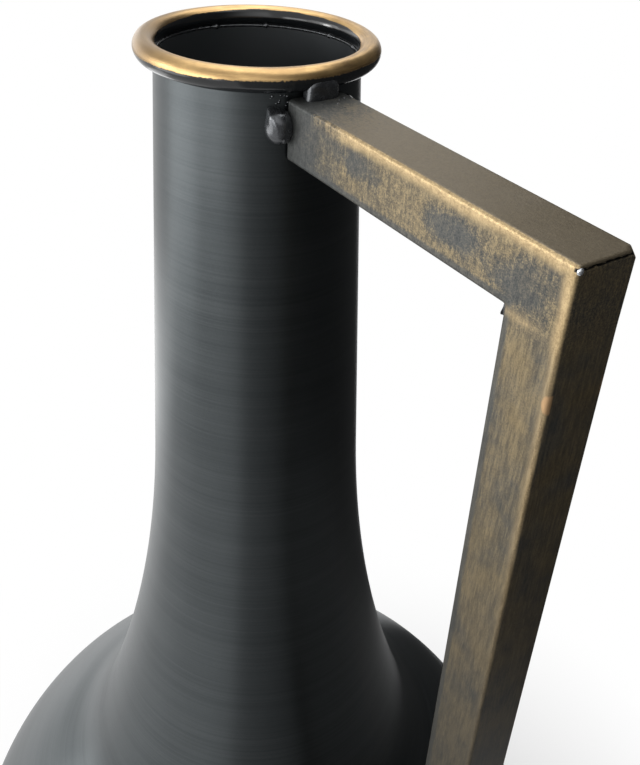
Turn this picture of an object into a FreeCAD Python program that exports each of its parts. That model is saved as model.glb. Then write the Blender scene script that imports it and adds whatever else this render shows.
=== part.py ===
import FreeCAD
import Part

import math
import os

# Floor-standing urn vase of spun sheet metal, with a long neck and one square-tube handle.
# Lengths are in millimetres and angles in degrees. The origin is the centre of the base on
# the floor, +Z is up, and the handle stands out along +X.

# Spun vessel
overall_height = 889.0
globe_diameter = 454.0
base_diameter = 179.0
base_corner_radius = 12.0
sheet = 1.2

# Neck: a slight taper, a long flare below it, and a tighter hollow curve onto the globe
neck_top_diameter = 90.0
neck_taper = 3.2
flare_radius = 810.0
flare_end_angle = 21.0
shoulder_radius = 80.0

# Round-bar rim: its bar overhangs the neck's top edge by a share of the bar's radius
rim_bar_diameter = 10.0
rim_overhang_share = 0.7
rim_weld_height = 1.2

# Square-tube handle: its outer end stands an inset within the globe's widest circle, and its
# leg leans out a little on the way down
tube_side = 25.4
tube_wall = 1.2
tube_corner_radius = 1.6
leg_inset = 23.6
leg_lean = 1.0
rim_to_arm_gap = 2.7
end_cap_thickness = 2.0
end_cap_edge_radius = 0.8

# Welds of the handle
elbow_bead_radius = 4.5
foot_bead_width = 3.5
neck_lump_width = 11.0
neck_lump_height = 15.0
neck_lump_end_share = 0.5
neck_lump_band_share = 0.4
neck_lump_rise = 1.2
neck_lump_stand_out = 2.0
tack_length = 13.0
tack_radius = 4.2
tack_stand_out = 2.5
tack_offset = 0.5

# Play between curved faces that meet, and the overrun of every cut
fit_gap = 0.3
overrun = 5.0

# Places that follow from the sizes above
globe_radius = globe_diameter / 2
base_radius = base_diameter / 2
rim_bar_radius = rim_bar_diameter / 2
rim_overhang = rim_bar_radius * rim_overhang_share
neck_top_radius = neck_top_diameter / 2
rim_centre_radius = neck_top_radius + rim_overhang
rim_plane = overall_height - rim_bar_radius
corner_reach = globe_radius - base_corner_radius
globe_centre_height = base_corner_radius + math.sqrt(corner_reach**2 - base_radius**2)
ring_underside_drop = math.sqrt(rim_bar_radius**2 - rim_overhang**2)
neck_top_height = rim_plane - ring_underside_drop - fit_gap
arm_top = rim_plane - rim_bar_radius - rim_to_arm_gap
arm_bottom = arm_top - tube_side
arm_axis_height = arm_top - tube_side / 2
handle_reach = globe_radius - leg_inset
leg_axis = handle_reach - tube_side / 2
leg_inner_face = handle_reach - tube_side

UP = FreeCAD.Vector(0, 0, 1)
ALONG_ARM = FreeCAD.Vector(1, 0, 0)
ACROSS_ARM = FreeCAD.Vector(0, 1, 0)


def in_section(radius, height):
    """A point of the vessel's half section: distance from the axis, and height."""
    return FreeCAD.Vector(radius, 0, height)


def facing(angle):
    """The unit direction in the half section that rises by an angle from the horizontal."""
    return in_section(math.cos(angle), math.sin(angle))


def outline():
    """The curved stretches of the vessel's outer face, from the flare down to the base.

    Each is (centre, radius, first angle, last angle), where the angle is that of the outward
    normal and a hollow curve has a negative radius. The curves are tangent to one another. The
    flare is tangent to the neck's taper, and it starts at the one height that lets the shoulder
    curve end tangent to the globe.
    """
    taper = math.radians(neck_taper)
    flare_end = math.radians(flare_end_angle)
    down_neck = facing(taper - math.pi / 2)
    globe_centre = in_section(0, globe_centre_height)
    neck_top = in_section(neck_top_radius, neck_top_height)
    flare_start_centre = neck_top + facing(taper) * flare_radius
    centre_step = facing(flare_end) * (flare_radius - shoulder_radius)
    start = flare_start_centre - centre_step - globe_centre
    span = globe_radius + shoulder_radius
    along = start.dot(down_neck)
    taper_length = -along - math.sqrt(along**2 - start.dot(start) + span**2)
    flare_centre = flare_start_centre + down_neck * taper_length
    shoulder_centre = flare_centre - centre_step
    to_shoulder = shoulder_centre - globe_centre
    globe_start = math.atan2(to_shoulder.z, to_shoulder.x)
    corner_centre = in_section(base_radius, base_corner_radius)
    to_corner = corner_centre - globe_centre
    globe_end = math.atan2(to_corner.z, to_corner.x)
    return [
        (flare_centre, -flare_radius, taper, flare_end),
        (shoulder_centre, -shoulder_radius, flare_end, globe_start),
        (globe_centre, globe_radius, globe_start, globe_end),
        (corner_centre, base_corner_radius, globe_end, -math.pi / 2),
    ]


def spun_solid(depth):
    """The vessel as a full solid whose skin lies a depth inside its outer face."""
    curves = outline()
    taper = math.radians(neck_taper)
    top = in_section(neck_top_radius - depth / math.cos(taper), neck_top_height)
    edges = []
    last = top
    for centre, radius, first_angle, last_angle in curves:
        skin_radius = radius - depth
        start = centre + facing(first_angle) * skin_radius
        middle = centre + facing((first_angle + last_angle) / 2) * skin_radius
        end = centre + facing(last_angle) * skin_radius
        if start.distanceToPoint(last) > fit_gap:
            edges.append(Part.makeLine(last, start))
        edges.append(Part.Arc(start, middle, end).toShape())
        last = end
    foot = in_section(0, last.z)
    edges.append(Part.makeLine(last, foot))
    edges.append(Part.makeLine(foot, in_section(0, top.z)))
    edges.append(Part.makeLine(in_section(0, top.z), top))
    half_section = Part.Face(Part.Wire(Part.__sortEdges__(edges)))
    return half_section.revolve(FreeCAD.Vector(), UP, 360)


def layer(low, high):
    """Everything between two heights, wide enough to hold the vessel."""
    return Part.makeCylinder(globe_radius + overrun, high - low, in_section(0, low), UP)


def wall_between(low, high):
    """The part of the vessel's sheet-metal wall that lies between two heights."""
    wall = spun_solid(0).cut(spun_solid(sheet))
    return wall.common(layer(low, high))


def shoulder_seam_height():
    """The height at which the hollow curve of the neck's foot meets the globe."""
    centre, radius, first_angle, last_angle = outline()[2]
    return (centre + facing(first_angle) * radius).z


def neck_shell():
    return wall_between(shoulder_seam_height(), overall_height)


def shoulder_shell():
    return wall_between(globe_centre_height, shoulder_seam_height())


def belly_shell():
    return wall_between(-overrun, globe_centre_height)


def ring(centre_radius, bar_radius, height):
    """A round bar bent to a ring about the vessel's axis."""
    return Part.makeTorus(centre_radius, bar_radius, in_section(0, height), UP)


def rim_ring():
    return ring(rim_centre_radius, rim_bar_radius, rim_plane)


def inside_ring_at(height):
    """A point of the half section that just clears the ring's inner underside at a height."""
    reach = rim_bar_radius + fit_gap
    inward = math.sqrt(reach**2 - (rim_plane - height)**2)
    return in_section(rim_centre_radius - inward, height)


def rim_weld():
    """A thin run that fills the corner between the neck's top edge and the ring."""
    wall_face = neck_top_radius - sheet / math.cos(math.radians(neck_taper))
    start = in_section(wall_face, neck_top_height)
    foot = inside_ring_at(neck_top_height)
    top = inside_ring_at(neck_top_height + rim_weld_height)
    section = Part.Face(Part.makePolygon([start, foot, top, start]))
    return section.revolve(FreeCAD.Vector(), UP, 360)


def square_outline(side, corner, centre, across, up):
    """A closed square wire with round corners, in the plane of two unit directions."""
    half = side / 2
    flat = half - corner
    bulge = flat + corner / math.sqrt(2)
    edges = []
    for quarter in range(4):
        turn = quarter * math.pi / 2
        right = across * math.cos(turn) + up * math.sin(turn)
        above = up * math.cos(turn) - across * math.sin(turn)
        start = centre + right * half - above * flat
        end = centre + right * half + above * flat
        middle = centre + right * bulge + above * bulge
        following = centre + right * flat + above * half
        edges.append(Part.makeLine(start, end))
        edges.append(Part.Arc(end, middle, following).toShape())
    return Part.Wire(Part.__sortEdges__(edges))


def square_bar(side, corner, centre, across, up, run):
    """A full bar of round-cornered square section, from its start's centre along a run."""
    return Part.Face(square_outline(side, corner, centre, across, up)).extrude(run)


def square_tube(centre, across, up, run):
    """The handle's tube: the outer bar less the bore that its wall leaves."""
    outer = square_bar(tube_side, tube_corner_radius, centre, across, up, run)
    bore_side = tube_side - 2 * tube_wall
    bore_corner = tube_corner_radius - tube_wall
    return outer.cut(square_bar(bore_side, bore_corner, centre, across, up, run))


def neck_radius_at(height):
    """The outer radius of the tapered neck at a height."""
    return neck_top_radius + (neck_top_height - height) * math.tan(math.radians(neck_taper))


def arm_start():
    """Where the arm's square-cut end stands: it just touches the neck with its lower edge."""
    return neck_radius_at(arm_bottom) + fit_gap


def arm_centre(distance):
    """A point of the arm's centre line."""
    return FreeCAD.Vector(distance, 0, arm_axis_height)


def arm_outside(clearance):
    """The arm and its end cap as one full bar, grown all round by a clearance."""
    side = tube_side + 2 * clearance
    corner = tube_corner_radius + clearance
    start = arm_start() - clearance
    run = ALONG_ARM * (handle_reach + clearance - start)
    return square_bar(side, corner, arm_centre(start), ACROSS_ARM, UP, run)


def handle_arm():
    run = ALONG_ARM * (handle_reach - end_cap_thickness - arm_start())
    return square_tube(arm_centre(arm_start()), ACROSS_ARM, UP, run)


def arm_end_cap():
    """A square plate over the arm's open end, with its outer edges ground round."""
    inner_face = handle_reach - end_cap_thickness
    run = ALONG_ARM * end_cap_thickness
    plate = square_bar(tube_side, tube_corner_radius, arm_centre(inner_face), ACROSS_ARM, UP, run)
    outer_edges = [edge for edge in plate.Edges if edge.BoundBox.XMin > inner_face + fit_gap]
    return plate.makeFillet(end_cap_edge_radius, outer_edges)


def leg_centre(height):
    """A point of the leg's centre line at a height. The line leans out below the arm."""
    step_out = (arm_bottom - height) * math.tan(math.radians(leg_lean))
    return FreeCAD.Vector(leg_axis + step_out, 0, height)


def leg_outside(top, clearance):
    """The leg as a full bar from inside the globe up to a height, grown by a clearance."""
    side = tube_side + 2 * clearance
    corner = tube_corner_radius + clearance
    bottom = leg_centre(globe_centre_height)
    return square_bar(side, corner, bottom, ALONG_ARM, ACROSS_ARM, leg_centre(top) - bottom)


def handle_leg():
    """The leaning tube, cut level under the arm and coped at its foot to the globe."""
    bottom = leg_centre(globe_centre_height)
    tube = square_tube(bottom, ALONG_ARM, ACROSS_ARM, leg_centre(arm_bottom) - bottom)
    return tube.cut(spun_solid(-fit_gap))


def elbow_welds():
    """A bead along the inside corner, and the flush fillings beside the arm's lower edges."""
    corner = FreeCAD.Vector(leg_inner_face, tube_corner_radius - tube_side / 2, arm_bottom)
    length = tube_side - 2 * tube_corner_radius
    bead = Part.makeCylinder(elbow_bead_radius, length, corner, ACROSS_ARM)
    bead = bead.cut(arm_outside(0)).cut(leg_outside(arm_axis_height, 0))
    above_leg = leg_outside(arm_axis_height, 0).cut(leg_outside(arm_bottom, 0))
    fillings = above_leg.cut(arm_outside(fit_gap))
    return Part.makeCompound(bead.Solids + fillings.Solids)


def leg_foot_weld():
    """A bead all round the leg's foot: a collar round the leg, as high as it is wide."""
    collar_side = tube_side + 2 * foot_bead_width
    collar_corner = tube_corner_radius + foot_bead_width
    bottom = leg_centre(globe_centre_height)
    run = leg_centre(arm_bottom) - bottom
    collar = square_bar(collar_side, collar_corner, bottom, ALONG_ARM, ACROSS_ARM, run)
    bead = collar.common(spun_solid(-foot_bead_width)).cut(spun_solid(-fit_gap))
    return bead.cut(leg_outside(arm_bottom, fit_gap))


def neck_weld(side):
    """A thick drop of weld in the corner between the arm's end and the neck, on one side.

    It is a barrel with a straight middle band and coned ends, trimmed to the arm and the neck.
    """
    height = arm_axis_height + neck_lump_rise
    half_tube = tube_side / 2
    neck_face = math.sqrt(neck_radius_at(height)**2 - half_tube**2)
    distance = (arm_start() + neck_face) / 2
    centre = FreeCAD.Vector(distance, side * (half_tube + neck_lump_stand_out), height)
    half_width = neck_lump_width / 2
    half_height = neck_lump_height / 2
    end_radius = half_width * neck_lump_end_share
    half_band = half_height * neck_lump_band_share
    corners = [
        in_section(0, half_height),
        in_section(end_radius, half_height),
        in_section(half_width, half_band),
        in_section(half_width, -half_band),
        in_section(end_radius, -half_height),
        in_section(0, -half_height),
        in_section(0, half_height),
    ]
    section = Part.Face(Part.makePolygon([centre + corner for corner in corners]))
    barrel = section.revolve(centre, UP, 360)
    return barrel.cut(arm_outside(fit_gap)).cut(spun_solid(-fit_gap))


def neck_weld_near():
    return neck_weld(-1)


def neck_weld_far():
    return neck_weld(1)


def rim_tack_weld():
    """A short bridge of weld from the arm's top to the rim ring's outer underside."""
    start = tack_offset - tack_length / 2
    distance = rim_centre_radius + tack_stand_out
    centre = FreeCAD.Vector(distance, start, arm_top + tack_stand_out)
    bridge = Part.makeCylinder(tack_radius, tack_length, centre, ACROSS_ARM)
    clear_ring = ring(rim_centre_radius, rim_bar_radius + fit_gap, rim_plane)
    return bridge.cut(arm_outside(0)).cut(clear_ring)


pieces = [
    neck_shell,
    shoulder_shell,
    belly_shell,
    rim_ring,
    rim_weld,
    handle_arm,
    arm_end_cap,
    handle_leg,
    elbow_welds,
    leg_foot_weld,
    neck_weld_near,
    neck_weld_far,
    rim_tack_weld,
]

os.makedirs("parts", exist_ok=True)
for piece in pieces:
    piece().exportStep(f"parts/{piece.__name__}.step")
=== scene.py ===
import math

import bpy
import numpy as np
from mathutils import Matrix, Vector


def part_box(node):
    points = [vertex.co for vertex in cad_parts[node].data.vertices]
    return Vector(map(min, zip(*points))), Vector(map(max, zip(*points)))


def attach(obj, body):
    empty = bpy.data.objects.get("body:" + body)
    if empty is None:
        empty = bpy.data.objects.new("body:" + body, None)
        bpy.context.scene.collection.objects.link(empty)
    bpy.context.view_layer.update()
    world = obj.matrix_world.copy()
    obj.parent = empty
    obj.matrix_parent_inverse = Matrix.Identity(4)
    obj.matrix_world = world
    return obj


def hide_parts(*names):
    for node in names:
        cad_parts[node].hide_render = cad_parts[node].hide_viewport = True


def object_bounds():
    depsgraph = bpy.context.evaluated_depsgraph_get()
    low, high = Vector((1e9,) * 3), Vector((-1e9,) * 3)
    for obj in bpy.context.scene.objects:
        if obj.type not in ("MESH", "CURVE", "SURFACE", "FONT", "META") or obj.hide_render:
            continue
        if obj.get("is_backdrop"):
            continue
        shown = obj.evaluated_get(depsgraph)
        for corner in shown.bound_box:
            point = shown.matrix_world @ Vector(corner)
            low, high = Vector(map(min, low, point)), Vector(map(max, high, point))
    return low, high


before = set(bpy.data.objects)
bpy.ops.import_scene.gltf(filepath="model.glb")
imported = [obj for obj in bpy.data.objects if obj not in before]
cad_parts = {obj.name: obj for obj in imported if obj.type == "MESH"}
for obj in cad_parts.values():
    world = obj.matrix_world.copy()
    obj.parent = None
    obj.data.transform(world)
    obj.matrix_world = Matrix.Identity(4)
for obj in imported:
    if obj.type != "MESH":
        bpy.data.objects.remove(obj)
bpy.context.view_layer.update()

# The vessel is three spun sheet-metal shells, the neck, the shoulder and the belly, welded edge to
# edge and ground flush, then blackened and waxed. Each shell is a thin wall carried once round the
# upright axis, so it is drawn as half a section: arcs that run smoothly into one another.
sheet = 0.0012
neck_top_radius = 0.045
neck_taper = math.radians(3.2)
flare_radius = 0.810
flare_end = math.radians(21)
shoulder_radius = 0.080
base_radius = 0.0895
base_corner_radius = 0.012
long_arc_steps = 60
foot_steps = 40
taper_steps = 40
corner_steps = 16
neck_bottom, neck_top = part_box("neck_shell")[0].z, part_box("neck_shell")[1].z
globe_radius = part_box("shoulder_shell")[1].x
globe_centre = np.array([0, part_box("shoulder_shell")[0].z])


def heading(angle):
    """The outward direction of the half section at an angle above the horizontal."""
    return np.array([math.cos(angle), math.sin(angle)])


globe_start = math.asin((neck_bottom - globe_centre[1]) / globe_radius)
shoulder_centre = globe_centre + heading(globe_start) * (globe_radius + shoulder_radius)
flare_centre = shoulder_centre + heading(flare_end) * (flare_radius - shoulder_radius)
corner_centre = np.array([base_radius, base_corner_radius])
globe_end = math.atan2(*(corner_centre - globe_centre)[::-1])


def eased(first, last, steps):
    """Values from first to last that stand closer together towards both ends, on a cosine."""
    return first + (last - first) * (1 - np.cos(np.linspace(0, np.pi, steps + 1))) / 2


def arc(centre, radius, first, last, steps):
    """Centre plus radius times (cos, sin) of the angle; a hollow curve has a negative radius."""
    angle = eased(first, last, steps)[:, None]
    return centre + radius * np.hstack((np.cos(angle), np.sin(angle)))


def neck_skin(depth):
    """The neck's face a depth inside the metal: taper, long flare, and tighter hollow foot."""
    flare = arc(flare_centre, -flare_radius - depth, neck_taper, flare_end, long_arc_steps)
    foot = arc(shoulder_centre, -shoulder_radius - depth, flare_end, globe_start, foot_steps)
    top = np.array([neck_top_radius - depth / math.cos(neck_taper), neck_top])
    rise = np.linspace(0, 1, taper_steps + 1)[:, None]
    taper = top + (flare[0] - top) * rise
    return np.vstack((taper[:-1], flare[:-1], foot))


def shoulder_skin(depth):
    """The globe from the neck's foot to its widest circle, a depth inside the metal."""
    return arc(globe_centre, globe_radius - depth, globe_start, 0, long_arc_steps)


def belly_skin(depth):
    """The globe below its widest circle, the round corner and the flat base."""
    globe = arc(globe_centre, globe_radius - depth, 0, globe_end, long_arc_steps)
    corner = arc(corner_centre, base_corner_radius - depth, globe_end, -math.pi / 2, corner_steps)
    flat = np.array([[base_radius * share, depth] for share in (0.66, 0.33, 0)])
    return np.vstack((globe[:-1], corner, flat))


def placed(name, points, faces):
    """A new piece at the origin: one smooth mesh of these points and faces."""
    mesh = bpy.data.meshes.new(name)
    mesh.from_pydata(points, [], faces)
    mesh.shade_smooth()
    piece = bpy.data.objects.new(name, mesh)
    bpy.context.scene.collection.objects.link(piece)
    return piece


def skin(name, grid, poles=False, sharp=(), marks=None):
    """A smooth closed mesh over a grid of points, whose last column joins its first.

    The last row joins the first in the same way, or with poles each shrinks to one point. Edges
    along the rows in sharp stay sharp, and marks are named values, one for each row.
    """
    rows, columns = grid.shape[:2]
    first = 1 if poles else 0
    inside = grid[first:rows - first]
    number = first + np.arange(inside.shape[0] * columns).reshape(-1, columns)
    beside = np.roll(number, -1, axis=1)
    below, below_beside = np.roll(number, -1, axis=0), np.roll(beside, -1, axis=0)
    quads = np.stack((number, below, below_beside, beside), -1)
    points = inside.reshape(-1, 3)
    values = {key: np.repeat(value, columns) for key, value in (marks or {}).items()}
    if poles:
        top = np.stack((0 * number[0], number[0], beside[0]), -1)
        last = 0 * number[0] + len(points) + 1
        bottom = np.stack((number[-1], last, beside[-1]), -1)
        faces = quads[:-1].reshape(-1, 4).tolist() + top.tolist() + bottom.tolist()
        points = np.vstack((grid[:1, 0], points, grid[-1:, 0]))
        values = {key: value[columns - 1:len(value) - columns + 1] for key, value in values.items()}
    else:
        faces = quads.reshape(-1, 4).tolist()
    piece = placed(name, points, faces)
    mesh = piece.data
    for key, value in values.items():
        mesh.attributes.new(key, "FLOAT", "POINT").data.foreach_set("value", value)
    if len(sharp):
        ends = np.empty(len(mesh.edges) * 2, int)
        mesh.edges.foreach_get("vertices", ends)
        row_of = (ends.reshape(-1, 2) - first) // columns + first
        creased = (row_of[:, 0] == row_of[:, 1]) & np.isin(row_of[:, 0], np.array(sharp) % rows)
        mesh.attributes.new("sharp_edge", "BOOLEAN", "EDGE").data.foreach_set("value", creased)
    return piece


def whole_turn(steps):
    """Angles once round, in equal steps, without the last one that would meet the first."""
    return np.arange(steps) * 2 * np.pi / steps


def turned(section, around=240):
    """Half a section turned about the upright axis: (r cos a, r sin a, h) for each angle a."""
    angle = whole_turn(around)
    radius, height = section[:, :1], section[:, 1:]
    return np.stack(np.broadcast_arrays(radius * np.cos(angle), radius * np.sin(angle), height), -1)


class Signal:
    """One output of a shader node. Arithmetic on it adds Math nodes to the same finish."""

    def __init__(self, finish, socket):
        self.finish = finish
        self.socket = socket

    def __add__(self, other):
        return self.finish.math("ADD", self, other)

    def __radd__(self, other):
        return self.finish.math("ADD", other, self)

    def __sub__(self, other):
        return self.finish.math("SUBTRACT", self, other)

    def __rsub__(self, other):
        return self.finish.math("SUBTRACT", other, self)

    def __mul__(self, other):
        return self.finish.math("MULTIPLY", self, other)

    def __rmul__(self, other):
        return self.finish.math("MULTIPLY", other, self)

    def __truediv__(self, other):
        return self.finish.math("DIVIDE", self, other)

    def __rtruediv__(self, other):
        return self.finish.math("DIVIDE", other, self)

    def __pow__(self, other):
        return self.finish.math("POWER", self, other)

    def __rpow__(self, other):
        return self.finish.math("POWER", other, self)

    def __abs__(self):
        return self.finish.math("ABSOLUTE", self)


class Finish:
    """The material of one kind of surface, or of the room round it, with nodes added one by one."""

    def __init__(self, name, kind=bpy.data.materials):
        self.owner = kind.new(name)
        self.owner.use_nodes = True
        self.tree = self.owner.node_tree
        self.tree.nodes.clear()

    def node(self, kind, settings=None, inputs=None, output=0):
        """Adds a node: its settings first, then the values or links of its inputs."""
        made = self.tree.nodes.new(kind)
        for name, value in (settings or {}).items():
            setattr(made, name, value)
        for name, value in (inputs or {}).items():
            if isinstance(value, Signal):
                self.tree.links.new(value.socket, made.inputs[name])
            else:
                made.inputs[name].default_value = value
        return Signal(self, made.outputs[output]) if made.outputs else None

    def math(self, operation, first, second=0.0):
        """A Math node, by the name of its operation."""
        return self.node("ShaderNodeMath", {"operation": operation}, {0: first, 1: second})

    def place(self):
        """Where a point of the piece is, in metres."""
        return self.node("ShaderNodeTexCoord", output="Object")

    def parts(self, vector):
        """The x, y and z of a vector."""
        outputs = self.node("ShaderNodeSeparateXYZ", inputs={0: vector}).socket.node.outputs
        return [Signal(self, outputs[axis]) for axis in range(3)]

    def point(self, x, y, z):
        """One vector from three numbers."""
        return self.node("ShaderNodeCombineXYZ", inputs={0: x, 1: y, 2: z})

    def noise(self, vector, scale, detail=3.0, roughness=0.5):
        """Clouds of values about 0.5, each cloud about 1 / scale of the vector across."""
        inputs = {"Vector": vector, "Scale": scale, "Detail": detail, "Roughness": roughness}
        return self.node("ShaderNodeTexNoise", inputs=inputs)

    def step(self, value, low, high):
        """0 below low, 1 above high and a smooth rise between them."""
        settings = {"interpolation_type": "SMOOTHSTEP", "clamp": True}
        inputs = {"Value": value, "From Min": low, "From Max": high}
        return self.node("ShaderNodeMapRange", settings, inputs)

    def mix(self, factor, first, second):
        """The first colour where the factor is 0, and the second where it is 1."""
        settings = {"data_type": "RGBA", "clamp_factor": True}
        return self.node("ShaderNodeMix", settings, {0: factor, 6: first, 7: second}, output=2)

    def bump(self, height, distance, strength=1.0):
        """Small relief: a height from 0 to 1 stands up by the distance."""
        inputs = {"Height": height, "Distance": distance, "Strength": strength}
        return self.node("ShaderNodeBump", inputs=inputs)

    def coat(self, **inputs):
        """The finish's one surface shader; the names of its inputs have _ for a space."""
        named = {name.replace("_", " "): value for name, value in inputs.items()}
        shader = self.node("ShaderNodeBsdfPrincipled", inputs=named)
        self.node("ShaderNodeOutputMaterial", inputs={"Surface": shader})
        return self.owner


def shade(value):
    """A neutral colour of one linear value."""
    return (value, value, value, 1.0)


def spun_black():
    """Blackened spun metal under wax, with fine turning lines; inside, the sheet is left matt."""
    finish = Finish("spun_black")
    place = finish.place()
    x, y, _ = finish.parts(place)
    run = finish.node("ShaderNodeAttribute", {"attribute_name": "run"}, output="Fac")
    inside = finish.node("ShaderNodeAttribute", {"attribute_name": "inside"}, output="Fac")
    along_lines = finish.point(x * 3.0, y * 3.0, run * 700.0)
    lines = finish.noise(along_lines, 1.0, detail=3.0, roughness=0.7)
    bands = finish.noise(finish.point(x * 5.0, y * 5.0, run * 120.0), 1.0, detail=3.0)
    cloud = finish.noise(place, 14.0, detail=5.0, roughness=0.6)
    grain = finish.noise(place, 900.0, detail=2.0)
    tone = lines * 0.40 + bands * 0.25 + cloud * 0.25 + grain * 0.10
    waxed = finish.step(tone, 0.32, 0.68)
    sheen = finish.mix(waxed, (0.057, 0.064, 0.067, 1), (0.080, 0.088, 0.091, 1))
    bare = finish.mix(cloud, (0.016, 0.019, 0.021, 1), (0.038, 0.043, 0.047, 1))
    roughness = 0.37 + 0.10 * (lines - 0.5) + 0.10 * (cloud - 0.5) + 0.15 * inside
    return finish.coat(
        Base_Color=finish.mix(inside, sheen, bare), Metallic=1 - inside, Roughness=roughness,
        Anisotropic=0.35, Anisotropic_Rotation=0.25,
        Normal=finish.bump(lines * 0.6 + bands * 0.3 + grain * 0.1, 0.00007))


def fitted(piece, finish, slot, *nodes):
    """Gives a piece its finish and sets it on the vase in the place of CAD nodes; the slot is not
    used.
    """
    piece.data.materials.append(finish)
    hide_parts(*nodes)
    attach(piece, "root")


vessel_finish = spun_black()
run_start = 0.0
for part, face in (("neck", neck_skin), ("shoulder", shoulder_skin), ("belly", belly_skin)):
    outside, inside = face(0), face(sheet)
    steps = np.linalg.norm(np.diff(outside, axis=0), axis=1)
    run = run_start + np.concatenate(([0], np.cumsum(steps)))
    run_start = run[-1]
    wall = np.vstack((inside[::-1], outside))
    marks = {
        "run": np.concatenate((run[::-1], run)),
        "inside": np.concatenate((np.ones(len(inside)), np.zeros(len(outside)))),
    }
    edges = (0, len(inside) - 1, len(inside), -1)
    shell = skin(part + "_spun", turned(wall), part == "belly", edges, marks)
    fitted(shell, vessel_finish, "vessel_black", part + "_shell")

# The rim is a round bar bent to a ring and welded on the neck's top edge. It is gilt by hand: gold
# is rubbed over its top, further down on the left than at the front, and the rest stays gloss
# black, with a ragged edge between them. A thin weld runs inside, between the ring and the sheet.
rim_low, rim_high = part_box("rim_ring")
bar_radius = (rim_high.z - rim_low.z) / 2
rim_radius = rim_high.x - bar_radius
rim_plane = rim_low.z + bar_radius
bar_wander = 0.00006
front_angle = math.radians(-30)


def ripple(around, across, seed, size):
    """A seamless wander: a sum of cosines of whole turns both ways round, with fixed phases."""
    chance = np.random.default_rng(seed)
    total = np.zeros(np.broadcast(around, across).shape)
    for turn in range(2, 12):
        phase = chance.uniform(0, 2 * np.pi)
        cross = chance.integers(-1, 2)
        total += np.cos(turn * around + cross * across + phase) / turn
    return size * total


def bent_bar(name, centre_radius, radius, height, around, across):
    """A circle carried round the axis: ((R + r cos b) cos a, (R + r cos b) sin a, r sin b)."""
    a, b = whole_turn(around)[:, None], whole_turn(across)[None, :]
    r = radius(a, b)
    reach = centre_radius + r * np.cos(b)
    points = np.stack((reach * np.cos(a), reach * np.sin(a), height + r * np.sin(b)), -1)
    return skin(name, points)


def gilt():
    """Gold rubbed over gloss black. How far it comes down the bar changes round the ring."""
    finish = Finish("rim_gilt")
    place = finish.place()
    x, y, z = finish.parts(place)
    from_axis = (x * x + y * y) ** 0.5
    out = (from_axis - rim_radius) / bar_radius
    up = (z - rim_plane) / bar_radius
    towards_front = (x * math.cos(front_angle) + y * math.sin(front_angle)) / from_axis
    towards_right = (y * math.cos(front_angle) - x * math.sin(front_angle)) / from_axis
    outer_edge = 0.17 + 0.16 * towards_front + 0.13 * towards_right
    inner_edge = 0.24 - 0.36 * towards_front + 0.08 * towards_right
    outside = finish.step(out, -0.1, 0.1)
    edge = outer_edge * outside + inner_edge * (1 - outside)
    torn = finish.noise(place, 600.0, detail=4.0, roughness=0.7) - 0.5
    wander = finish.noise(place, 70.0, detail=2.0) - 0.5
    ragged = 0.12 + 0.30 * finish.step(towards_front, 0.55, 0.9)
    gold = finish.step(up * 0.985 + out * 0.174 + torn * ragged + wander * 0.20 - edge, -0.03, 0.03)
    along_bar = finish.point(x * 50.0, y * 50.0, (up + out * 0.7) * 5.0)
    drawn = finish.noise(along_bar, 1.0, detail=5.0, roughness=0.65)
    rub = finish.noise(place, 60.0, detail=5.0, roughness=0.6)
    worn = finish.step(drawn * 0.6 + rub * 0.4, 0.36, 0.62)
    gilding = finish.mix(worn, (0.33, 0.212, 0.097, 1), (0.59, 0.395, 0.177, 1))
    # Painted shade: the gilding is darkened on the ring's left side.
    left_side_shade = 0.80 * finish.step(towards_right, -0.50, -0.90)
    gilding = finish.mix(left_side_shade, gilding, (0.20, 0.132, 0.064, 1))
    colour = finish.mix(gold, (0.008, 0.009, 0.010, 1), gilding)
    return finish.coat(
        Base_Color=colour, Metallic=gold * 0.97, Roughness=0.13 + 0.20 * gold + 0.16 * (rub - 0.5),
        Normal=finish.bump(drawn * 0.4 + rub * 0.3 + gold * 0.5, 0.00012, 0.8))


def weld_black():
    """Gloss black over weld metal, that pools smooth on the drops and shows pits between them."""
    finish = Finish("weld_black")
    place = finish.place()
    lumps = finish.noise(place, 350.0, detail=3.0)
    pits = finish.noise(place, 1500.0, detail=2.0)
    colour = finish.mix(lumps, (0.034, 0.036, 0.040, 1), (0.095, 0.100, 0.106, 1))
    return finish.coat(
        Base_Color=colour, Metallic=0.75, Roughness=0.13 + 0.25 * finish.step(lumps, 0.35, 0.75),
        Coat_Weight=0.4, Coat_Roughness=0.08,
        Normal=finish.bump(lumps * 0.6 + pits * 0.4, 0.00035, 0.5))


def bar_size(a, b):
    """The bar's radius: a little under the drawn stock, with the wander that bending leaves."""
    return bar_radius - 2 * bar_wander + ripple(a, b, 5, bar_wander)


rim = bent_bar("rim_bar", rim_radius, bar_size, rim_plane, around=256, across=40)
fitted(rim, gilt(), "rim_gilt", "rim_ring")

seam_low, seam_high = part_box("rim_weld")
seam_radius = 0.0005
seam_inset = 0.0006
dot_reach = 0.022
seam_dots = np.radians((145, 102, 176, -130, 76, 20, -75))


def seam_size(a, b):
    """The seam's bar: a fine ripple, and a small round dot at each place where the arc paused."""
    nearest = np.abs((a - seam_dots[None, :] + np.pi) % (2 * np.pi) - np.pi).min(axis=1)[:, None]
    dots = 1.3 * np.exp(-(nearest / dot_reach) ** 2)
    return seam_radius * (1 + 0.10 * np.sin(70 * a) + dots) + 0 * b


weld_finish = weld_black()
seam_plane = (seam_low.z + seam_high.z) / 2
seam = bent_bar(
    "rim_seam", seam_high.x - seam_inset, seam_size, seam_plane, around=720, across=12)
fitted(seam, weld_finish, "weld_black", "rim_weld")

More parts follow.
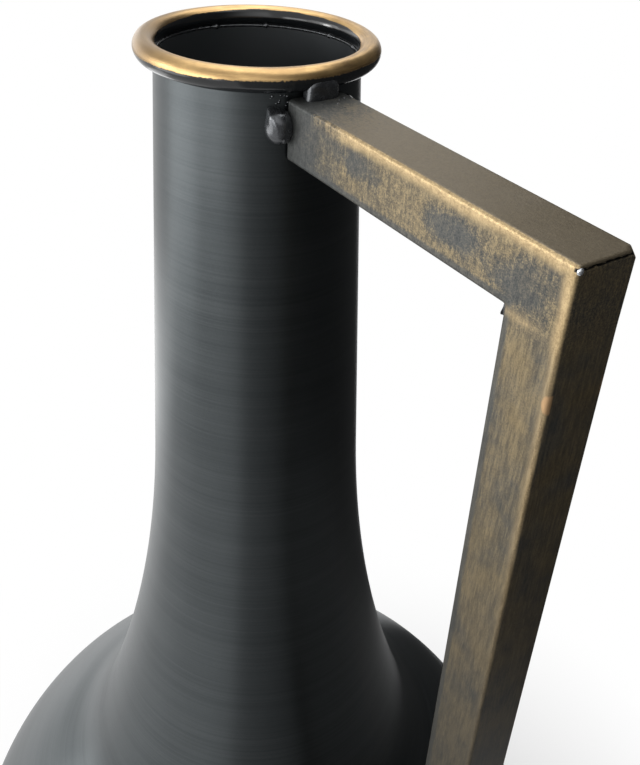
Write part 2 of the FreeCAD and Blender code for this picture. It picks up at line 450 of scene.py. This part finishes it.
# The handle is square steel tube with round corners: a level arm, closed by a plate at its outer
# end, and a leg that is cut level under it, leans out a little and is coped to the globe. The
# elbow is ground flush, so arm and plate are drawn as one bend, with the open crevice along the
# plate's top edge. Brass is rubbed over black, most of all along the outer edges.
arm_low, arm_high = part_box("handle_arm")
cap_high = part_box("arm_end_cap")[1]
leg_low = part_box("handle_leg")[0]
tube_half = (arm_high.y - arm_low.y) / 2
tube_corner = 0.0016
tube_wall = 0.0012
leg_lean = math.tan(math.radians(1.0))
arm_axis = (arm_high.z + arm_low.z) / 2
leg_axis = leg_low.x + tube_half
outer_face = cap_high.x
inner_face = leg_low.x
bend_radius = 0.0013
joint_drop = 0.0013
joint_height = arm_low.z - joint_drop
joint_fades_from, joint_ends_at = 0.186, 0.199
leg_shade_from, leg_shade_full = 0.83, 0.61
brass_from, brass_full = 0.058, 0.090
crevice_height = arm_high.z - 0.0015
crevice_half = 0.00035
crevice_depth = 0.0010
corner_cut = 0.0042
chip_middle, chip_half_height, chip_half_reach = 0.8275, 0.0034, 0.0026
black_patches = (
    (0.098, 0.866, 0.012, 0.006), (0.147, 0.864, 0.013, 0.006), (0.184, 0.861, 0.015, 0.0105))


def square_loop(half, corner):
    """Once round a square with round corners: (across, rise) pairs from top to far side and on."""
    flat = half - corner
    edge_row = 0.0003
    sides = np.concatenate(([-flat], np.linspace(edge_row - flat, flat - edge_row, 13)))
    turn = np.linspace(0, np.pi / 2, 9)[:-1]
    one_side = np.vstack((
        np.stack((sides, np.full(len(sides), half)), 1),
        np.stack((flat + corner * np.sin(turn), flat + corner * np.cos(turn)), 1)))
    quarter = np.array([[0, -1], [1, 0]])
    return np.vstack([one_side @ np.linalg.matrix_power(quarter, turns) for turns in range(4)])


def crevice(across, z):
    """How far the outer face is eaten in: a groove, depth * exp(-((z - middle) / width)^4).

    Its middle and its width wander across the face.
    """
    wander = 0.00015 * np.sin(across * 900) + 0.00012 * np.sin(across * 2300 + 1)
    width = crevice_half * (1 + 0.35 * np.sin(across * 1700 + 2))
    return crevice_depth * np.exp(-((z - crevice_height - wander) / width) ** 4)


def arm_rows(across, rise):
    """Along the arm, round the bend and down to the joint, for each point of the tube's loop.

    What stands past the plane x + y + z = limit is moved back onto it: the cut far top corner.
    """
    bend_x, bend_z = leg_axis + rise - bend_radius, arm_axis + rise - bend_radius
    along = np.concatenate((
        [0, 0.004], np.linspace(0.02, 0.97, 30), np.linspace(0.975, 0.998, 10)))[:, None]
    turn = np.linspace(0, np.pi / 2, 9)[:, None]
    down = np.concatenate((np.linspace(0, 0.15, 16)[1:], np.linspace(0.15, 1, 9)[1:]))[:, None]
    x = np.vstack((
        arm_low.x + (bend_x - arm_low.x) * along,
        bend_x + bend_radius * np.sin(turn),
        np.broadcast_to(bend_x + bend_radius, (len(down), len(rise)))))
    z = np.vstack((
        np.broadcast_to(arm_axis + rise, (len(along), len(rise))),
        bend_z + bend_radius * np.cos(turn),
        bend_z + (joint_height - bend_z) * down))
    on_face = x > outer_face - 0.0005
    x = x - crevice(across, z) * on_face
    points = np.stack((x, np.broadcast_to(across, x.shape), z), -1)
    limit = outer_face + tube_half + arm_high.z - corner_cut
    return points - np.maximum(points.sum(-1) - limit, 0)[..., None] / 3


def leg_rows(across, rise):
    """Down the leaning line from the joint to where each of the loop's points meets the globe.

    The height of that meeting is found by passes that put the last height into the lean.
    """
    top_x = leg_axis + rise
    foot = globe_centre[1] + np.sqrt(globe_radius**2 - top_x**2 - across**2)
    for _ in range(6):
        foot_x = top_x + leg_lean * (joint_height - foot)
        foot = globe_centre[1] + np.sqrt(globe_radius**2 - foot_x**2 - across**2)
    down = np.concatenate(([0, 0.002], np.linspace(0.01, 0.99, 40), [1]))[:, None]
    z = joint_height + (foot - joint_height) * down
    return np.stack(np.broadcast_arrays(top_x + leg_lean * (joint_height - z), across, z), -1)


def tube(name, rows):
    """A tube's outside from end to end and its bore back again, as one closed skin."""
    outside = rows(*square_loop(tube_half, tube_corner).T)
    bore = rows(*square_loop(tube_half - tube_wall, tube_corner - tube_wall).T)
    count = len(outside)
    return skin(name, np.concatenate((outside, bore[::-1])), sharp=(0, count - 1, count, -1))


def rubbed_brass():
    """Brass rubbed over slate black: brightest on the side faces along their outer edges.

    Fine strokes cross the arm and run down the leg. Black is left in a few patches and round the
    neck's end. A strip along the inner edges is kept black as painted shade of their rounded
    corners, and the leg is darkened more and more towards its foot as painted shade.
    """
    finish = Finish("rubbed_brass")
    place = finish.place()
    x, y, z = finish.parts(place)
    below = finish.math("MAXIMUM", joint_height - z, 0.0)
    to_outside = outer_face + leg_lean * below - x
    to_top = arm_high.z - z
    to_side = tube_half - abs(y)
    to_inside = finish.math("MAXIMUM", x - leg_lean * below - inner_face, z - arm_low.z)
    patch = finish.noise(place, 48.0, detail=4.0, roughness=0.55)
    strokes = finish.noise(finish.point(x, y, z * 0.12), 900.0, detail=4.0, roughness=0.7)
    aslant = finish.point(x * 0.5 + z * 0.5, y, z * 0.5 - x * 0.5)
    scuffs = finish.noise(aslant, 900.0, detail=4.0, roughness=0.7)
    grain = finish.noise(place, 1500.0, detail=3.0, roughness=0.75)
    on_leg = finish.step(z, arm_low.z + 0.002, arm_low.z - 0.012)
    fine = grain * 0.40 + scuffs * 0.35 * (1 - on_leg) + strokes * (0.25 + 0.35 * on_leg)
    # Painted shade: the leg is darkened more and more towards its foot, and its brass edge narrows
    # and dims there.
    shade_to_foot = finish.step(z, leg_shade_from, leg_shade_full)

    def left_black(middle_x, middle_z, half_x, half_z):
        """An oval patch with a torn edge that the brass didn't reach."""
        across, upright = (x - middle_x) / half_x, (z - middle_z) / half_z
        apart = (across * across + upright * upright) ** 0.5
        return finish.step(apart + (patch - 0.5) * 1.6 + (fine - 0.5) * 1.6, 1.35, 0.45)

    spots = 0.0
    for middle_and_halves in black_patches:
        spots = finish.math("MAXIMUM", spots, left_black(*middle_and_halves))
    on_side = finish.step(to_side, 0.0013, 0.0005)
    outer_line = finish.math("MINIMUM", to_top, to_outside)
    wander = (patch - 0.5) * 0.006 + (fine - 0.5) * 0.006
    from_line = outer_line + wander + 0.0014 * on_leg + 0.0008 * shade_to_foot
    worn_edge = finish.step(from_line, 0.0056, 0.0016) * on_side
    joint = finish.step(abs(z - joint_height) + (fine - 0.5) * 0.006, 0.0030, 0.0)
    joint = joint * finish.step(x, inner_face - 0.002, inner_face + 0.002)
    joint = joint * finish.step(x, joint_ends_at, joint_fades_from) * on_side
    inner_edge = finish.math("MAXIMUM", to_inside, to_side * 0.5)
    # Painted shade: brass is kept off in a strip along the inner edges, where their rounded corners
    # turn into shade.
    inner_edge_shade = finish.step(inner_edge + (fine - 0.5) * 0.0020, 0.0042, 0.0026)
    ragged_x = x + (patch - 0.5) * 0.04 + (fine - 0.5) * 0.06
    past_neck = finish.step(ragged_x, brass_from, brass_full)
    level = patch * (0.28 + 0.30 * on_leg) + fine * (0.90 - 0.45 * on_leg)
    level = level + 0.075 * on_leg - 0.07 - 0.13 * spots
    tone = fine + (0.5 - fine) * 0.45 * on_leg
    rub = finish.step(level, 0.33, 0.65) * past_neck * (1 - 0.85 * inner_edge_shade)
    on_top = finish.step(to_top, 0.0014, 0.0004)

    def spread(value, low, high, dark, light):
        """A colour from dark to light as the value goes from low to high."""
        return finish.mix(finish.step(value, low, high), (*dark, 1), (*light, 1))

    slate = spread(tone, 0.36, 0.62, (0.026, 0.028, 0.028), (0.078, 0.081, 0.077))
    tan = spread(tone, 0.40, 0.66, (0.140, 0.108, 0.060), (0.315, 0.246, 0.142))
    brass = spread(fine, 0.38, 0.62, (0.25, 0.180, 0.092), (0.50, 0.375, 0.205))
    taupe = spread(fine, 0.36, 0.62, (0.094, 0.075, 0.048), (0.148, 0.122, 0.082))
    colour = finish.mix(rub * (1 - 0.55 * spots), slate, tan)
    colour = finish.mix(on_top * past_neck * (1 - on_side), colour, taupe)
    bright = finish.math("MAXIMUM", worn_edge, joint * 0.45)
    colour = finish.mix(bright * past_neck * (1 - 0.30 * on_leg - 0.35 * shade_to_foot), colour, brass)
    chip_rise, chip_reach = (z - chip_middle) / chip_half_height, to_outside / chip_half_reach
    from_chip = chip_rise * chip_rise + chip_reach * chip_reach
    chip = finish.step(from_chip + (patch - 0.5) * 2 + grain - 0.5, 1.2, 0.6)
    chip = chip * finish.step(to_side, 0.0021, 0.0013)
    colour = finish.mix(chip, colour, (0.42, 0.265, 0.135, 1))
    # Painted shade: the colour goes towards black down the leg.
    colour = finish.mix(0.70 * shade_to_foot, colour, (0.024, 0.022, 0.017, 1))
    # Painted shade: the groove of the crevice along the plate's top edge is coloured nearly black.
    crevice_shade = finish.step(abs(z - crevice_height), 0.0008, 0.0004)
    crevice_shade = crevice_shade * finish.step(to_outside, 0.0001, 0.0005)
    crevice_shade = crevice_shade * finish.step(to_outside, 0.0020, 0.0012)
    colour = finish.mix(crevice_shade, colour, shade(0.006))
    return finish.coat(
        Base_Color=colour, Metallic=0.55 + 0.35 * rub * (1 - shade_to_foot),
        Roughness=0.47 + 0.14 * (fine - 0.5), Normal=finish.bump(fine, 0.00016, 0.8))


brass_finish = rubbed_brass()
arm, leg = tube("arm_and_plate", arm_rows), tube("leg_tube", leg_rows)
fitted(arm, brass_finish, "handle_brass", "handle_arm", "arm_end_cap")
fitted(leg, brass_finish, "handle_brass", "handle_leg")

# The welds are thick drops left as they cooled, and painted gloss black. One sits on each side of
# the arm's end, a short bridge joins the arm's top to the rim, a bead fills the inside corner of
# the elbow, and another runs round the leg's foot.


def ball(rows, columns):
    """A ball of radius 1 on a grid: (sin t cos a, sin t sin a, cos t), t from pole to pole."""
    polar = np.linspace(0, np.pi, rows)[:, None]
    around = whole_turn(columns)[None, :]
    return np.stack(np.broadcast_arrays(
        np.sin(polar) * np.cos(around), np.sin(polar) * np.sin(around), np.cos(polar)), -1)


def drop(name, centre, halves, lumps, squareness=1.0):
    """A rounded lump: a ball stretched by its half sizes, swelled or sunk near each direction.

    Near a direction n the radius grows by height * exp(tightness * (cos of the angle to n - 1)),
    and a squareness under 1, for all ways or for each, flattens the ball towards a box.
    """
    unit = ball(49, 64)
    size = np.ones(unit.shape[:2])
    for direction, height, tightness in lumps:
        aim = np.array(direction) / np.linalg.norm(direction)
        size = size + height * np.exp(tightness * (unit @ aim - 1))
    boxed = np.sign(unit) * np.abs(unit) ** squareness
    return skin(name, np.array(centre) + np.array(halves) * boxed * size[..., None], poles=True)


def chance_lumps(seed, count, height, tightness):
    """Small lumps in directions drawn from a fixed seed."""
    chance = np.random.default_rng(seed)
    return [
        (chance.normal(size=3), height * chance.uniform(-1, 1), tightness) for _ in range(count)]


weld_halves = (0.0060, 0.0060, 0.0070)
weld_inset, weld_reach, weld_rise = 0.0010, 0.0156, 0.0008
for side, part in ((-1, "near"), (1, "far")):
    node = "neck_weld_" + part
    low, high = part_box(node)
    middle = (low + high) / 2
    centre = (middle.x - weld_inset, side * weld_reach, middle.z + weld_rise)
    lumps = [
        ((0.3, side, 0.75), 0.16, 9), ((-0.6, side * 0.6, 1.0), 0.28, 16),
        ((0.1, side, 0.15), -0.12, 7), ((-0.4, side, -0.6), 0.10, 5),
        ((0.5, side * 0.3, -1), 0.10, 6)]
    lumps += chance_lumps(7 + side, 16, 0.035, 25)
    weld = drop("drop_" + part, centre, weld_halves, lumps)
    fitted(weld, weld_finish, "weld_black", node)

bridge_centre, bridge_halves = (0.0501, 0.0002, 0.8796), (0.0039, 0.0070, 0.0046)
bridge_lumps = [((0.3, -1, -0.9), 0.22, 9), ((1, 0.1, -1.2), 0.12, 6), ((0.5, 1, -0.9), 0.12, 9)]
bridge_lumps += chance_lumps(21, 14, 0.035, 22)
bridge = drop("rim_bridge", bridge_centre, bridge_halves, bridge_lumps, squareness=0.55)
fitted(bridge, weld_finish, "weld_black", "rim_tack_weld")

bead_centre = (inner_face + 0.0003, 0.0, arm_low.z)
bead_halves = (0.0010, tube_half - 0.0006, 0.0066)
bead_lumps = [((-1, turn, -0.6), 0.06, 60) for turn in np.linspace(-2.4, 2.4, 9)]
bead_lumps += chance_lumps(33, 18, 0.03, 40)
bead = drop("elbow_bead", bead_centre, bead_halves, bead_lumps, squareness=(0.35, 0.35, 0.6))
fitted(bead, weld_finish, "weld_black", "elbow_welds")


def foot_bead(name, radius, humps=44, steps=480, across=16):
    """A bead whose path follows the tube's loop along the globe, humped where each drop cooled."""
    loop = square_loop(tube_half, tube_corner)
    closed = np.vstack((loop, loop[:1]))
    length = np.concatenate(([0], np.cumsum(np.linalg.norm(np.diff(closed, axis=0), axis=1))))
    at = np.arange(steps) * length[-1] / steps
    side_way, out_way = (np.interp(at, length, closed[:, axis]) for axis in range(2))
    path = leg_rows(side_way, out_way)[-1]
    normal = (path - np.array([0, 0, globe_centre[1]])) / globe_radius
    along = np.roll(path, -1, axis=0) - np.roll(path, 1, axis=0)
    along /= np.linalg.norm(along, axis=1)[:, None]
    aside = np.cross(along, normal)
    hump = radius * (1 + 0.10 * np.cos(humps * whole_turn(steps)))
    hump = (hump + ripple(whole_turn(steps), 0.0, 12, radius * 0.06))[:, None, None]
    turn = whole_turn(across)[None, :, None]
    ring = np.cos(turn) * aside[:, None] + 0.8 * np.sin(turn) * normal[:, None]
    return skin(name, path[:, None] + hump * ring)


foot_weld = foot_bead("foot_bead", radius=0.0028)
fitted(foot_weld, weld_finish, "weld_black", "leg_foot_weld")

# Spatter: tiny balls of weld metal that froze on the arm's top by the bridge and on the neck above
# the near drop, in the same gloss black. At the open end of the crevice a drop stayed bare steel.


def beads(name, centres, radii, rows=7, columns=10):
    """Many small balls in one mesh: each is the same grid with poles, at its centre and radius."""
    unit = ball(rows, columns)
    rings = unit[1:-1].reshape(-1, 3)
    one = np.vstack((unit[:1, 0], rings, unit[-1:, 0]))
    number = 1 + np.arange(len(rings)).reshape(rows - 2, columns)
    beside = np.roll(number, -1, axis=1)
    quads = np.stack((number[:-1], number[1:], beside[1:], beside[:-1]), -1).reshape(-1, 4)
    top = np.stack((0 * number[0], number[0], beside[0]), -1)
    bottom = np.stack((number[-1], 0 * number[-1] + len(one) - 1, beside[-1]), -1)
    points = (np.array(centres)[:, None] + np.array(radii)[:, None, None] * one).reshape(-1, 3)
    step = len(one) * np.arange(len(centres))[:, None, None]
    faces = []
    for group in (quads, top, bottom):
        faces += (step + group).reshape(-1, group.shape[1]).tolist()
    return placed(name, points, faces)


on_arm = np.array([
    [0.0600, 0.0020, arm_high.z], [0.0565, 0.0050, arm_high.z], [0.0650, 0.0019, arm_high.z],
    [0.0553, 0.0082, arm_high.z], [0.0585, -0.0034, arm_high.z]])
radii_on_arm = [0.00045, 0.0003, 0.00025, 0.0004, 0.0003]
turns_on_neck, heights_on_neck, radii_on_neck = (-24, -14), (0.8718, 0.8770), (0.0003, 0.0007)
chance = np.random.default_rng(4)
count = 10
angle = np.radians(chance.uniform(*turns_on_neck, count))
height = chance.uniform(*heights_on_neck, count)
neck_reach = neck_top_radius + (neck_top - height) * math.tan(neck_taper)
on_neck = np.stack((neck_reach * np.cos(angle), neck_reach * np.sin(angle), height), 1)
radii = np.concatenate((radii_on_arm, chance.uniform(*radii_on_neck, count)))
spatter = beads("weld_spatter", np.vstack((on_arm, on_neck)), radii)
spatter.data.materials.append(weld_finish)
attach(spatter, "root")


def bare_steel():
    """Weld metal that no black reached: bright and nearly smooth."""
    finish = Finish("bare_steel")
    pits = finish.noise(finish.place(), 1100.0, detail=3.0)
    return finish.coat(
        Base_Color=finish.mix(pits, (0.40, 0.42, 0.45, 1), (0.80, 0.82, 0.85, 1)), Metallic=0.9,
        Roughness=0.20 + 0.2 * (pits - 0.5), Normal=finish.bump(pits, 0.0002, 0.5))


corner_place = (outer_face - 0.0007, 0.0015 - tube_half, arm_high.z - 0.0020)
corner_halves = (0.0011, 0.0012, 0.0014)
corner_drop = drop("corner_drop", corner_place, corner_halves, chance_lumps(51, 8, 0.08, 12))
corner_drop.data.materials.append(bare_steel())
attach(corner_drop, "root")

# The floor is a plain pale sweep that runs out to white. A studio's soft lights stand on the left,
# in front and behind on the left, with a large one above, and a tall dark screen curves round the
# right, so the black vessel has one light side and one dark side.
floor_half = 6.0
pale_within, white_beyond = 0.18, 0.60
screen_distance = 0.55
screen_height = 1.7
screen_start, screen_end = math.radians(-46), math.radians(121)
screen_fade = math.radians(65)
high_from, high_full = 0.88, 1.06
faint_glow, edge_glow, high_glow = 0.0293, 0.1707, 0.80
glow_strength = 1.875


def floor_finish():
    """A pale matt floor that turns to plain white away from the vase, by its distance from it."""
    finish = Finish("pale_floor")
    across, back, _ = finish.parts(finish.place())
    seen = finish.node("ShaderNodeLightPath", output="Is Camera Ray")
    mirrored = finish.node("ShaderNodeLightPath", output="Is Glossy Ray")
    from_vase = (across * across + back * back) ** 0.5
    away = finish.step(from_vase, pale_within, white_beyond)
    white = finish.math("MAXIMUM", seen, mirrored) * (0.35 + 0.65 * away)
    lit = finish.node("ShaderNodeBsdfDiffuse", inputs={"Color": shade(0.80)})
    plain = finish.node("ShaderNodeEmission", inputs={"Color": shade(1.0), "Strength": 1.0})
    both = finish.node("ShaderNodeMixShader", inputs={0: white, 1: lit, 2: plain})
    finish.node("ShaderNodeOutputMaterial", inputs={"Surface": both})
    return finish.owner


def screen_finish():
    """Black studio cloth that glows as painted light along its front edge, most of all high up."""
    finish = Finish("dark_cloth")
    across, back, height = finish.parts(finish.place())
    angle = finish.math("ARCTAN2", back, across)
    front = 1 - finish.step(angle, screen_start, screen_start + screen_fade)
    high_up = finish.step(height, high_from, high_full)
    glow = faint_glow + edge_glow * front + high_glow * front * high_up
    colour = finish.mix(glow, shade(0.0), shade(1.0))
    cloth_glow = finish.node(
        "ShaderNodeEmission", inputs={"Color": colour, "Strength": glow_strength})
    finish.node("ShaderNodeOutputMaterial", inputs={"Surface": cloth_glow})
    return finish.owner


def staged(name, points, finish):
    """A part of the studio: a grid of points as one open sheet."""
    rows, columns = points.shape[:2]
    number = np.arange(rows * columns).reshape(rows, columns)
    quads = np.stack((number[:-1, :-1], number[:-1, 1:], number[1:, 1:], number[1:, :-1]), -1)
    part = placed(name, points.reshape(-1, 3), quads.reshape(-1, 4).tolist())
    part.data.materials.append(finish)
    part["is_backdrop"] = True
    return part


floor_line = np.array([-floor_half, floor_half])
floor_grid = np.stack(np.broadcast_arrays(floor_line[None, :], floor_line[:, None], 0.0), -1)
staged("floor", floor_grid, floor_finish())

screen_angle = np.linspace(screen_start, screen_end, 33)[None, :]
screen_grid = np.stack(np.broadcast_arrays(
    screen_distance * np.cos(screen_angle), screen_distance * np.sin(screen_angle),
    np.array([0.0, screen_height])[:, None]), -1)
screen = staged("dark_screen", screen_grid, screen_finish())
screen.visible_camera = False
screen.visible_shadow = False


def soft_light(name, place, aim, size, power):
    """A rectangular soft light at a place, facing an aim."""
    data = bpy.data.lights.new(name, "AREA")
    data.shape = "RECTANGLE"
    data.size, data.size_y = size
    data.energy = power
    lamp = bpy.data.objects.new(name, data)
    lamp.location = place
    lamp.rotation_mode = "QUATERNION"
    lamp.rotation_quaternion = (Vector(aim) - Vector(place)).to_track_quat("-Z", "Y")
    bpy.context.scene.collection.objects.link(lamp)
    lamp.visible_camera = False


soft_light("left_light", (-0.75, -1.55, 0.75), (0, 0, 0.55), (1.3, 1.7), 17)
soft_light("front_light", (0.40, -1.65, 1.00), (0, 0, 0.75), (0.9, 0.9), 9)
soft_light("back_light", (-2.4, -0.65, 1.02), (0, 0, 0.55), (3.0, 1.15), 11)
soft_light("low_light", (-0.86, -0.22, 0.18), (0, 0, 0.30), (1.2, 0.30), 1.4)
soft_light("small_light", (-0.60, -1.15, 1.08), (0, 0, 0.87), (0.22, 0.22), 2.4)
soft_light("top_light", (-0.4, 0.6, 2.6), (0, 0, 0.6), (2.2, 2.2), 28)


def white_room():
    """White all round: full where it is seen or mirrored, and half as bright as a light."""
    finish = Finish("studio", bpy.data.worlds)
    seen = finish.node("ShaderNodeLightPath", output="Is Camera Ray")
    mirrored = finish.node("ShaderNodeLightPath", output="Is Glossy Ray")
    strength = 0.5 + 0.5 * finish.math("MAXIMUM", seen, mirrored)
    white = finish.node("ShaderNodeBackground", inputs={"Color": shade(1.0), "Strength": strength})
    finish.node("ShaderNodeOutputWorld", inputs={"Surface": white})
    return finish.owner


bpy.context.scene.world = white_room()

# The camera stands in front and to the right, above the rim, and looks down.
eye = Vector((0.3494, -0.1997, 0.9946))
turned_aside = 0.0861
bearing = math.atan2(-eye.y, -eye.x) - turned_aside
pitch = 0.6226
roll = 0.0535
focal_length, picture_height = 905.3, 765
focal_share = focal_length / picture_height
forward = Vector((
    math.cos(bearing) * math.cos(pitch), math.sin(bearing) * math.cos(pitch), -math.sin(pitch)))
level = Vector((math.sin(bearing), -math.cos(bearing), 0))
above = level.cross(forward)
right = level * math.cos(roll) + above * math.sin(roll)
up = above * math.cos(roll) - level * math.sin(roll)
lens = bpy.data.cameras.new("camera")
lens.sensor_width = 36.0
lens.lens = focal_share * lens.sensor_width
lens.clip_start = 0.01
camera = bpy.data.objects.new("camera", lens)
camera.matrix_world = Matrix((right, up, -forward)).transposed().to_4x4()
camera.location = eye
bpy.context.scene.collection.objects.link(camera)
bpy.context.scene.camera = camera
bpy.context.scene.view_settings.view_transform = "Standard"

low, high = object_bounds()
